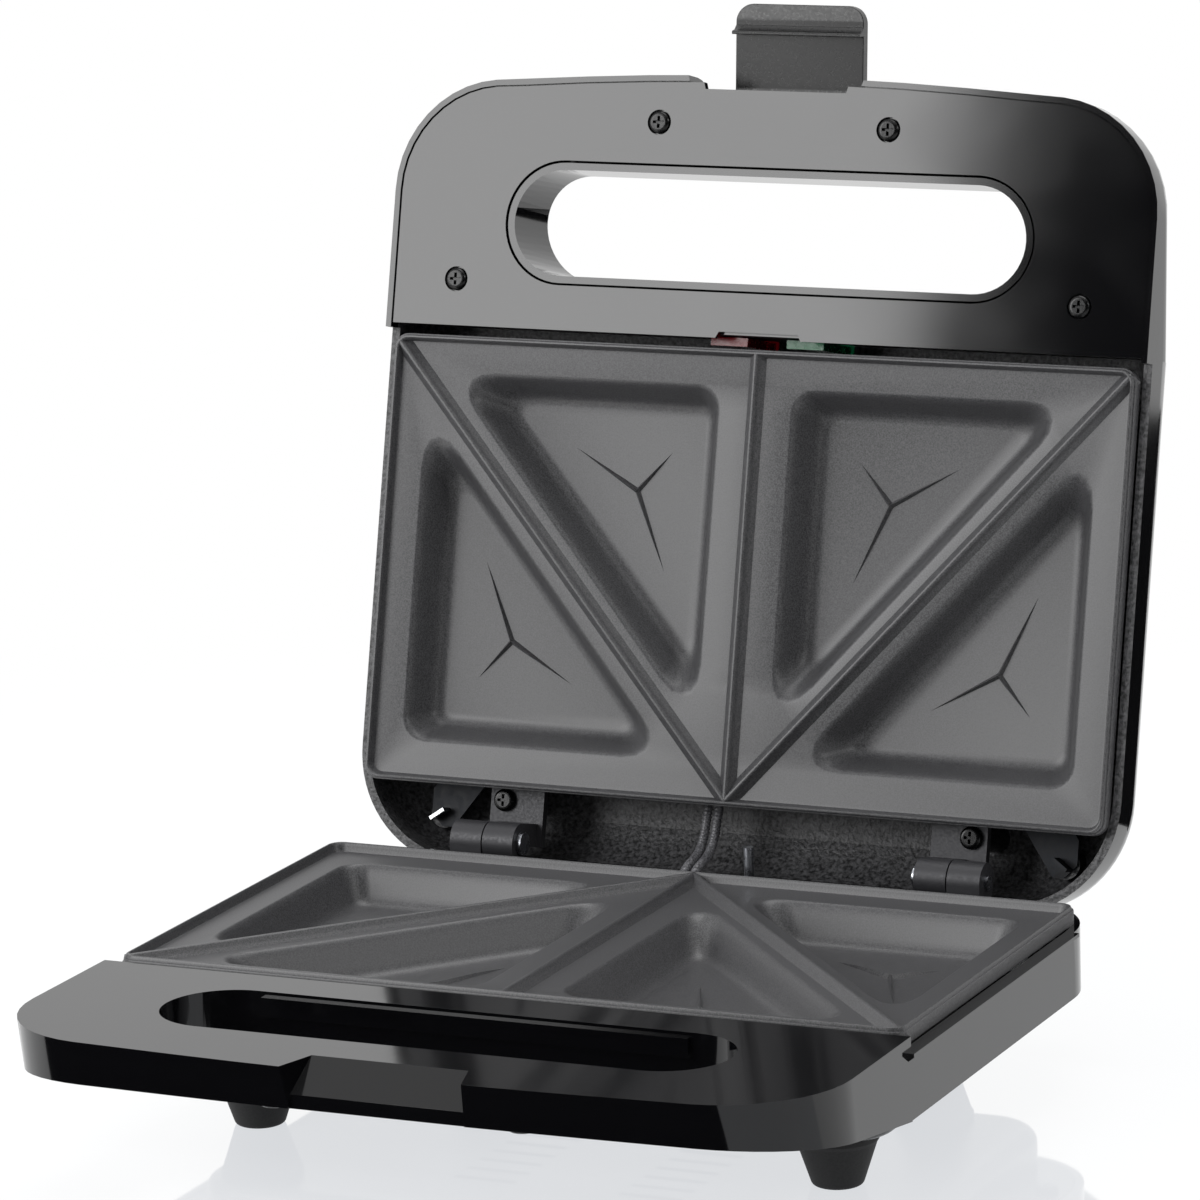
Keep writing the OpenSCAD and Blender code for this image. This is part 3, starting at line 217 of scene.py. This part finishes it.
# Urea moulding compound of the connector blocks
urea, tree, shader = new_material("urea_moulding", "#d5d0c0", 0.4, ior=1.5)
grain(tree, shader, 1.2, 0.008, detail=2, rough=(0.34, 0.48))

# Steatite of the fuse sleeves
steatite, tree, shader = new_material("steatite_sleeve", "#d8d2c4", 0.5, ior=1.55)
grain(tree, shader, 0.5, 0.01, detail=2, rough=(0.42, 0.6))

# Coloured polycarbonate of the two lenses, slightly cloudy, and glass of the neon lamps
lenses = {}
for key, name, colour in (("power", "red_polycarbonate", "#8a0c18"),
                          ("ready", "green_polycarbonate", "#0c7448")):
    lenses[key], tree, shader = new_material(name, colour, 0.22, ior=1.58)
    shader.inputs["Transmission Weight"].default_value = 0.35
    shader.inputs["Specular IOR Level"].default_value = 0.2
    grain(tree, shader, 1.0, 0.003, detail=1, rough=(0.18, 0.28))
lamp_glass, tree, shader = new_material("lamp_glass", "#e8d8c8", 0.05, ior=1.5)
shader.inputs["Transmission Weight"].default_value = 0.8
grain(tree, shader, 3.0, 0.003, detail=1, rough=(0.03, 0.08))

# Varnished glass-fibre braid of the leads: dark, with the ribs of the braid
braid, tree, shader = new_material("varnished_glass_braid", "#5c5c5f", 0.4, ior=1.5)
grain(tree, shader, 0.5, 0.03, detail=2, colours=("#3c3c3f", "#7c7c80"))

NODE_MATERIALS = {
    gloss_black: ["base_housing", "lid_shell", "lid_handle_cover"],
    satin_black: ["base_handle_cover", "base_bottom", "latch"],
    nonstick: ["base_plate", "lid_plate"],
    black_zinc: ["base_hinge_left", "base_hinge_right", "lid_hinge_left", "lid_hinge_right"],
    black_oxide: ["base_bottom_screws", "lid_cover_screws", "base_hinge_screws",
                  "lid_hinge_screws"],
    zinc: ["base_plate_screws", "lid_plate_screws", "base_clamp_screw", "lid_clamp_screw",
           "base_element_clamp", "lid_element_clamp", "hinge_pin_left", "hinge_pin_right",
           "earth_stud", "latch_pin", "thermostat"],
    sheet_metal: ["base_reflector", "lid_reflector"],
    sheath: ["base_element", "lid_element"],
    rubber: ["foot_front_left", "foot_front_right", "foot_rear_left", "foot_rear_right",
             "cord_bush"],
    urea: ["base_connector", "lid_connector", "lamp_holder"],
    steatite: ["base_thermal_fuse", "lid_thermal_fuse"],
    braid: ["jumper_lead_left", "jumper_lead_right"],
    lenses["power"]: ["power_lens"],
    lenses["ready"]: ["ready_lens"],
    lamp_glass: ["power_lamp", "ready_lamp"],
}
for mat, names in NODE_MATERIALS.items():
    for name in names:
        slots = frame["nodes"][name].material_slots
        if not slots:
            frame["nodes"][name].data.materials.append(mat)
        for s in slots:
            s.material = mat

MATERIAL_OF = {n: m for m, names in NODE_MATERIALS.items() for n in names}
BODY_OF = {n: b for b, names in frame["record"]["behaviour"]["bodies"].items() for n in names}

# ---------------------------------------------------------------- mesh helpers


def finish_piece(bm, name, mat, node, sharp, place=None):
    """Object from a bmesh in millimetres: placed, in metres, smooth, in place of its CAD node."""
    body = BODY_OF[node]
    if place is not None:
        bmesh.ops.transform(bm, matrix=place, verts=bm.verts)
    bmesh.ops.scale(bm, vec=(MM, MM, MM), verts=bm.verts)
    mesh = bpy.data.meshes.new(name)
    for f in bm.faces:
        f.smooth = True
    bm.to_mesh(mesh)
    bm.free()
    mesh.set_sharp_from_angle(angle=math.radians(sharp))
    obj = bpy.data.objects.new(name, mesh)
    bpy.context.collection.objects.link(obj)
    mesh.materials.append(mat)
    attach(obj, body)
    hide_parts(node)
    return obj


MERGE_DIST = 2e-6                    # m, joins the doubled corners of a solid's mesh
FLAT_ANGLE = 0.6                     # degrees, faces closer than this become one
EDGE_ANGLE = 32.0                    # degrees, edges sharper than this are rounded
NORMAL_WEIGHT = 60


def softened(node, width, segments=2):
    """A CAD node again, merged, with its edges rounded as the moulding or casting has them."""
    source = frame["nodes"][node]
    bm = bmesh.new()
    bm.from_mesh(source.data)
    bmesh.ops.remove_doubles(bm, verts=bm.verts, dist=MERGE_DIST)
    bmesh.ops.dissolve_limit(bm, angle_limit=math.radians(FLAT_ANGLE), verts=bm.verts,
                             edges=bm.edges, delimit=set())
    bmesh.ops.scale(bm, vec=(1 / MM, 1 / MM, 1 / MM), verts=bm.verts)
    obj = finish_piece(bm, node + "_finished", MATERIAL_OF[node], node, EDGE_ANGLE)
    edge = obj.modifiers.new("edge", "BEVEL")
    edge.width = width * MM
    edge.segments = segments
    edge.limit_method = "ANGLE"
    edge.angle_limit = math.radians(EDGE_ANGLE)
    edge.harden_normals = False
    edge.use_clamp_overlap = True
    flat = obj.modifiers.new("flat", "WEIGHTED_NORMAL")
    flat.keep_sharp = True
    flat.weight = NORMAL_WEIGHT
    return obj


for node, width in (("base_housing", 0.35), ("lid_handle_cover", 0.35),
                    ("base_handle_cover", 0.4), ("base_bottom", 0.5), ("latch", 0.5)):
    softened(node, width)


# In the lid's own frame, in mm: its middle, the front of its inside, and the inside's depth
LID_MIDDLE, INSIDE_FRONT, INSIDE_DEPTH = Vector((0, -70, 4)), -145.2, 34


def roughen_inside(obj):
    """Second material on the lid's faces that look inward."""
    obj.data.materials.append(rough_black)
    back = LID_PLACE.inverted()
    turn = back.to_3x3()
    for face in obj.data.polygons:
        at = back @ (face.center / MM)
        normal = turn @ face.normal
        if at.y > INSIDE_FRONT and normal.dot(LID_MIDDLE - at) > 0 and at.z < INSIDE_DEPTH:
            face.material_index = 1


roughen_inside(softened("lid_shell", 0.6))

EAR_LINE = -33.5                     # the ears begin here, in the lid's own frame
TAB_TOP = 19.0                       # the lit left twist tab, left without painted shade, lies below this


def paint_shade_on_ears(obj):
    """Painted shade on the reflector's ears: a darker copy of the sheet, kept off only the lit
    left twist tab.
    """
    obj.data.materials.append(painted_shade_sheet)
    bm = bmesh.new()
    bm.from_mesh(obj.data)
    bmesh.ops.bisect_plane(bm, geom=bm.verts[:] + bm.edges[:] + bm.faces[:],
                           plane_co=(LID_PLACE @ Vector((0, EAR_LINE, 0))) * MM,
                           plane_no=LID_PLACE.to_3x3() @ Vector((0, 1, 0)))
    back = LID_PLACE.inverted()
    for face in bm.faces:
        at = back @ (face.calc_center_median() / MM)
        # painted shade: every face past the ear line, except the lit left twist tab
        if at.y > EAR_LINE + 0.1 and not (at.x < 0 and at.z < TAB_TOP):
            face.material_index = 1
    bm.to_mesh(obj.data)
    bm.free()


paint_shade_on_ears(softened("lid_reflector", 0.15, segments=1))

# ---------------------------------------------------------------- cooking plates

PLATE_HW, PLATE_FRONT, PLATE_REAR = 111.0, 141.1, 14.8
LAND, POCKET_DEPTH, PLATE_T = -2.8, 10.5, 2.2
LAND_MID, LAND_RIM, LAND_DIAG = 10.5, 10.0, 5.2
REAR_EXTRA = 1.2                     # the rear land is this much wider
POCKET_SLOPE, POCKET_R, POCKET_LOW_R = 8.0, 7.0, 3.0
CORNER_STEPS = 5
RIB_REACH, RIB_FOOT, RIB_RISE, RIB_SINK = 0.6, 1.0, 1.3, 0.4
DIAG = (PLATE_FRONT - PLATE_REAR) / PLATE_HW
DIAG_STRETCH = math.hypot(1, DIAG)


def pocket_corners(outer, inset):
    """Corners of a right-hand pocket's outline, drawn in by inset."""
    off = (LAND_DIAG + inset) * DIAG_STRETCH
    if outer:
        x, y = PLATE_HW - LAND_RIM - inset, -(PLATE_REAR + LAND_RIM + inset + REAR_EXTRA)
    else:
        x, y, off = LAND_MID + inset, -(PLATE_FRONT - LAND_RIM - inset), -off
    return [Vector((x, y, 0)), Vector((x, -PLATE_REAR - x * DIAG + off, 0)),
            Vector(((-PLATE_REAR + off - y) / DIAG, y, 0))]


def ring(bm, corners, radius, height):
    """Closed loop of edges: the corners joined and rounded."""
    verts = [bm.verts.new((c.x, c.y, height)) for c in corners]
    bm.faces.new(verts)
    old = set(bm.verts) - set(verts)
    for i, v in enumerate(verts):
        a, b = corners[i - 1] - corners[i], corners[(i + 1) % len(corners)] - corners[i]
        reach = radius / math.tan(a.angle(b) / 2)
        bmesh.ops.bevel(bm, geom=[v], offset=reach, offset_type="OFFSET",
                        segments=CORNER_STEPS, profile=0.5, affect="VERTICES",
                        clamp_overlap=False, material=-1)
    new = [v for v in bm.verts if v not in old]
    # each edge once, in the mesh's own order, so that every run fills the land alike
    edges = list(dict.fromkeys(e for v in new for e in v.link_edges))
    bmesh.ops.delete(bm, geom=[f for f in bm.faces if all(v in new for v in f.verts)],
                     context="FACES_ONLY")
    return edges


# Share of the way in and down at each step of a pocket's wall, from land to floor
WALL_STEPS = [(0.0, 0.0), (0.05, 0.012), (0.11, 0.05), (0.18, 0.12), (0.27, 0.25), (0.4, 0.47),
              (0.52, 0.67), (0.62, 0.82), (0.72, 0.915), (0.84, 0.97), (1.0, 1.0)]


def pocket(bm, outer, side):
    """One pocket's soft wall and floor; gives the loop at the land."""
    first = previous = None
    for inward, down in WALL_STEPS:
        corners = pocket_corners(outer, POCKET_SLOPE * inward)
        corners = [Vector((side * c.x, c.y, 0)) for c in corners]
        radius = POCKET_R + (POCKET_LOW_R - POCKET_R) * inward
        edges = ring(bm, corners, radius, LAND - POCKET_DEPTH * down)
        if previous:
            bmesh.ops.bridge_loops(bm, edges=previous + edges)
        first, previous = first or edges, edges
    bmesh.ops.edgeloop_fill(bm, edges=previous)
    return first


def ridge(bm, start, toward):
    """Thin rib on a pocket's floor, highest at start and running out to nothing."""
    way = toward - start
    reach = way.length * RIB_REACH
    turn = (Matrix.Translation((start.x, start.y, LAND - POCKET_DEPTH))
            @ Matrix.Rotation(math.atan2(way.y, way.x), 4, "Z"))
    points = [(-RIB_FOOT, 0, -RIB_SINK), (0, -RIB_FOOT, -RIB_SINK), (reach, 0, -RIB_SINK),
              (0, RIB_FOOT, -RIB_SINK), (-RIB_FOOT * 0.3, 0, RIB_RISE),
              (reach * 0.5, 0, RIB_RISE * 0.62)]
    verts = [bm.verts.new(turn @ Vector(q)) for q in points]
    bmesh.ops.convex_hull(bm, input=verts)


# Half of a divider's section, from foot to crest: (out from the middle, height)
DIVIDER_HALF = [(2.6, LAND - 0.2), (2.4, LAND + 0.12), (1.5, LAND + 0.75), (0.85, -1.0),
                (0.6, -0.5), (0.25, -0.3)]


def divider(bm, a, b, side):
    """Raised divider with hollow flanks and a narrow round crest."""
    profile = [(-x, z) for x, z in DIVIDER_HALF] + DIVIDER_HALF[::-1]
    a, b = Vector((side * a[0], a[1], 0)), Vector((side * b[0], b[1], 0))
    along = (b - a).normalized()
    across = Vector((-along.y, along.x, 0))
    face = bm.faces.new([bm.verts.new(a + across * x + Vector((0, 0, z))) for x, z in profile])
    out = bmesh.ops.extrude_face_region(bm, geom=[face], use_keep_orig=True)
    moved = [g for g in out["geom"] if isinstance(g, bmesh.types.BMVert)]
    bmesh.ops.translate(bm, vec=b - a, verts=moved)


# The rim's section, from skirt over ledge, round crest and steep flank down to the land:
# (in from the edge, height)
RIM_LEVELS = [(0, LAND - PLATE_T), (0, -1.45), (0.1, -1.28), (0.4, -1.2), (0.52, -0.6),
              (0.68, -0.3), (0.9, -0.22), (1.15, -0.22), (1.35, -0.4), (1.6, -1.2),
              (1.85, -2.1), (2.15, LAND + 0.12), (2.8, LAND)]
RIM_R, RIM_MIN_R = 4.0, 1.5


def cooking_plate(name, node, place, mirror):
    """One casting: rim, land, pockets and underside, with its dividers and ribs."""
    bm = bmesh.new()
    x, y0, y1 = PLATE_HW, -PLATE_FRONT, -PLATE_REAR
    outline = [Vector((x, y0, 0)), Vector((x, y1, 0)), Vector((-x, y1, 0)),
               Vector((-x, y0, 0))]
    skirt = previous = None
    for inset, z in RIM_LEVELS:
        corners = [Vector((c.x - math.copysign(inset, c.x),
                           c.y + math.copysign(inset, (y0 + y1) / 2 - c.y), 0)) for c in outline]
        edges = ring(bm, corners, max(RIM_R - inset * 0.5, RIM_MIN_R), z)
        if previous:
            bmesh.ops.bridge_loops(bm, edges=previous + edges)
        skirt, previous = skirt or edges, edges
    border = list(previous)
    for side in (1, -1):
        for outer in (False, True):
            border += pocket(bm, outer, side)
    bmesh.ops.triangle_fill(bm, use_beauty=True, use_dissolve=False, edges=border,
                            normal=(0, 0, 1))
    land = [f for f in bm.faces if max(v.co.z for v in f.verts) < LAND + 0.001]
    under = bmesh.ops.duplicate(bm, geom=land)["geom"]
    bmesh.ops.translate(bm, vec=(0, 0, -PLATE_T),
                        verts=[g for g in under if isinstance(g, bmesh.types.BMVert)])
    inner = [g for g in under if isinstance(g, bmesh.types.BMEdge) and g.is_boundary]
    bmesh.ops.triangle_fill(bm, use_beauty=True, use_dissolve=False, edges=skirt + inner,
                            normal=(0, 0, -1))
    bmesh.ops.recalc_face_normals(bm, faces=bm.faces)
    if bm.calc_volume(signed=True) < 0:
        bmesh.ops.reverse_faces(bm, faces=bm.faces)
    before = set(bm.faces)
    for side in (1, -1):
        divider(bm, (0, y1 - 1.5), (PLATE_HW - 1.2, y0 + 1.8), side)
        for outer in (False, True):
            corners = [Vector((side * c.x, c.y, 0))
                       for c in pocket_corners(outer, POCKET_SLOPE)]
            centre = sum(corners, Vector()) / 3
            for c in corners:
                ridge(bm, centre, c)
    divider(bm, (0, y0 + 1.2), (0, y1 - 1.2), 1)
    bmesh.ops.recalc_face_normals(bm, faces=[f for f in bm.faces if f not in before])
    if mirror:
        bmesh.ops.transform(bm, matrix=FLIP, verts=bm.verts)
        bmesh.ops.reverse_faces(bm, faces=bm.faces)
    finish_piece(bm, name, nonstick, node, 40, place)


cooking_plate("base_plate_casting", "base_plate", BASE_PLACE, False)
cooking_plate("lid_plate_casting", "lid_plate", LID_PLACE, True)

# ---------------------------------------------------------------- leads to the lid

LEAD_D, LEAD_PITCH, LEAD_X = 2.6, 3.2, -8.0
BRAID_PITCH, BRAID_DIP = 0.69, 0.8   # along the lead, and the radius between two ribs
SPLINE_STEPS = 40
LEAD_LOW = [(-22, -25.6), (-21.8, -20), (-15.5, -12.5), (-7.5, -8), (0, -4.2)]
LEAD_HIGH = [(-1, 7.5), (-6, 11), (-13, 12.6), (-21.2, 15), (-22, 20.6)]


def lead_route():
    """Points of the leads' route in the standing frame, x at 0."""
    low = [BASE_PLACE @ Vector((0, y, z)) for y, z in LEAD_LOW]
    return low + [LID_PLACE @ Vector((0, y, w)) for y, w in LEAD_HIGH]


def smooth_route(points, step):
    """Even points on a spline through the given ones."""
    dense = []
    for i in range(len(points) - 1):
        a, b = points[max(i - 1, 0)], points[i]
        c, d = points[i + 1], points[min(i + 2, len(points) - 1)]
        for k in range(SPLINE_STEPS):
            t = k / SPLINE_STEPS
            dense.append(0.5 * (2 * b + (c - a) * t + (2 * a - 5 * b + 4 * c - d) * t * t
                                + (3 * b - a - 3 * c + d) * t ** 3))
    dense.append(points[-1])
    even, walked = [dense[0]], 0.0
    for a, b in zip(dense, dense[1:]):
        walked += (b - a).length
        if walked >= step:
            even.append(b)
            walked = 0.0
    return even


def braided_lead(name, node, x):
    """Sleeve with the fine ribs of its braid, bent between base and lid."""
    data = bpy.data.curves.new(name, "CURVE")
    data.dimensions = "3D"
    data.bevel_depth = LEAD_D / 2 * MM
    data.bevel_resolution = 6
    data.use_fill_caps = True
    points = smooth_route(lead_route(), BRAID_PITCH / 3)
    line = data.splines.new("POLY")
    line.points.add(len(points) - 1)
    for i, (q, target) in enumerate(zip(points, line.points)):
        target.co = (x * MM, q.y * MM, q.z * MM, 1)
        target.radius = 1.0 if i % 3 < 2 else BRAID_DIP
    curve = bpy.data.objects.new(name + "_line", data)
    bpy.context.collection.objects.link(curve)
    bpy.context.view_layer.update()
    mesh = bpy.data.meshes.new_from_object(curve)
    bpy.data.objects.remove(curve)
    obj = bpy.data.objects.new(name, mesh)
    bpy.context.collection.objects.link(obj)
    mesh.materials.clear()
    mesh.materials.append(braid)
    for face in mesh.polygons:
        face.use_smooth = True
    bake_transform(obj)
    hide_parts(node)


braided_lead("braided_lead_left", "jumper_lead_left", LEAD_X - LEAD_PITCH / 2)
braided_lead("braided_lead_right", "jumper_lead_right", LEAD_X + LEAD_PITCH / 2)

# ---------------------------------------------------------------- floor, light, world


def stage_sheet(name, verts, mat):
    """Flat sheet of the studio, from its corners in metres."""
    bm = bmesh.new()
    bm.faces.new([bm.verts.new(v) for v in verts])
    mesh = bpy.data.meshes.new(name)
    bm.to_mesh(mesh)
    bm.free()
    sheet = bpy.data.objects.new(name, mesh)
    bpy.context.collection.objects.link(sheet)
    mesh.materials.append(mat)
    return sheet


# Polished white acrylic: its own bluish white, a weak mirror image, and a little of the lamps'
# light with the object's shadow, which add up to white and run out to plain white
FLOOR_HALF = 6.0
FADE_FROM, FADE_TO = 0.24, 0.6       # m from the middle
floor_mat, tree, shader = new_material("polished_white_acrylic", "#ffffff", 0.6)
place = add_node(tree, "ShaderNodeTexCoord")
away = add_node(tree, "ShaderNodeVectorMath", {0: (place, "Object")}, operation="LENGTH")
fade = remap(tree, away, "Value", (FADE_FROM, FADE_TO), interpolation_type="SMOOTHSTEP")
ripple = add_node(tree, "ShaderNodeTexNoise", {"Vector": (place, "Object")}, Scale=30.0)
blur = remap(tree, ripple, "Fac", to_range=(0.03, 0.05))
own = add_node(tree, "ShaderNodeEmission", Color=(0.66, 0.675, 0.7, 1), Strength=1.0)
mirror = add_node(tree, "ShaderNodeBsdfAnisotropic", {"Roughness": (blur, "Result")},
                  Color=(0.25, 0.24, 0.22, 1))
lit = add_node(tree, "ShaderNodeBsdfDiffuse", Color=(0.12, 0.12, 0.12, 1))
paper = add_node(tree, "ShaderNodeEmission", Color=linear("#ffffff"), Strength=1.0)
near = add_node(tree, "ShaderNodeAddShader", {0: (own, 0), 1: (mirror, 0)})
near = add_node(tree, "ShaderNodeAddShader", {0: (near, 0), 1: (lit, 0)})
near = add_node(tree, "ShaderNodeMixShader", {0: (fade, "Result"), 1: (near, 0), 2: (paper, 0)})
seen = ray_is(tree, "Is Camera Ray", "Is Glossy Ray")
mix = add_node(tree, "ShaderNodeMixShader", {0: seen, 1: (shader, 0), 2: (near, 0)})
tree.links.new(mix.outputs[0], tree.nodes["Material Output"].inputs["Surface"])
stage_sheet("floor", [(-FLOOR_HALF, -FLOOR_HALF, 0), (FLOOR_HALF, -FLOOR_HALF, 0),
                      (FLOOR_HALF, FLOOR_HALF, 0), (-FLOOR_HALF, FLOOR_HALF, 0)], floor_mat)

# Dark studio flags that only mirror-like reflections see, and only on their front: they give
# the black mouldings their deep sides. Two stand in front, two lie just above the floor.
flag_cloth, tree, shader = new_material("black_flag_cloth", "#0a0a0a", 0.9)
weave = add_node(tree, "ShaderNodeEmission", Color=linear("#1a1a1a"), Strength=1.0)
clear = add_node(tree, "ShaderNodeBsdfTransparent")
back = add_node(tree, "ShaderNodeNewGeometry")
mix = add_node(tree, "ShaderNodeMixShader", {0: (back, "Backfacing"), 1: (weave, 0),
                                             2: (clear, 0)})
tree.links.new(mix.outputs[0], tree.nodes["Material Output"].inputs["Surface"])
FLAG_TOP, FLAG_FOOT, FLAG_LOW = 2.8, 0.02, 0.001
for name, corners in (
        ("flag_front", [(0.9, -2.0, FLAG_FOOT), (-0.61, -1.53, FLAG_FOOT),
                        (-0.61, -1.53, FLAG_TOP), (0.9, -2.0, FLAG_TOP)]),
        ("flag_right", [(2.3, 0.4, FLAG_FOOT), (0.9, -2.0, FLAG_FOOT),
                        (0.9, -2.0, FLAG_TOP), (2.3, 0.4, FLAG_TOP)]),
        ("flag_before_base", [(-0.24, -0.36, FLAG_LOW), (0.1, -0.36, FLAG_LOW),
                              (0.1, -0.15, FLAG_LOW), (-0.24, -0.15, FLAG_LOW)]),
        ("flag_beside_lid", [(0.13, 0.24, FLAG_LOW), (0.8, 0.24, FLAG_LOW),
                             (0.8, 0.95, FLAG_LOW), (0.13, 0.95, FLAG_LOW)])):
    flag = stage_sheet(name, corners, flag_cloth)
    flag.visible_camera = flag.visible_diffuse = flag.visible_shadow = False
    flag.visible_transmission = flag.visible_volume_scatter = False


def area_light(name, place, aim, size, power):
    """Soft rectangular lamp, from its place towards its aim."""
    data = bpy.data.lights.new(name, "AREA")
    data.shape = "RECTANGLE"
    data.size, data.size_y = size
    data.energy = power
    lamp = bpy.data.objects.new(name, data)
    bpy.context.collection.objects.link(lamp)
    lamp.location = place
    lamp.rotation_euler = (Vector(aim) - Vector(place)).to_track_quat("-Z", "Y").to_euler()


# The key softbox stands where the open lid mirrors it to the camera, over two thirds of its width
area_light("key", (-1.01, -1.24, 0.83), (-0.05, 0.12, 0.2), (0.97, 0.96), 18)
area_light("fill", (1.7, -0.5, 1.2), (0, 0, 0.1), (0.5, 0.5), 6)
area_light("top", (0.0, 0.5, 1.9), (0, 0.05, 0.1), (1.2, 0.9), 12)

world = bpy.data.worlds.new("studio")
bpy.context.scene.world = world
world.use_nodes = True
tree = world.node_tree
tree.nodes.clear()
seen = ray_is(tree, "Is Camera Ray", "Is Glossy Ray", "Is Transmission Ray")
ambient = add_node(tree, "ShaderNodeBackground", Color=linear("#ffffff"), Strength=0.45)
white = add_node(tree, "ShaderNodeBackground", Color=linear("#ffffff"), Strength=1.0)
mix = add_node(tree, "ShaderNodeMixShader", {0: seen, 1: (ambient, 0), 2: (white, 0)})
add_node(tree, "ShaderNodeOutputWorld", {"Surface": (mix, 0)})

bpy.context.scene.view_settings.view_transform = "Standard"
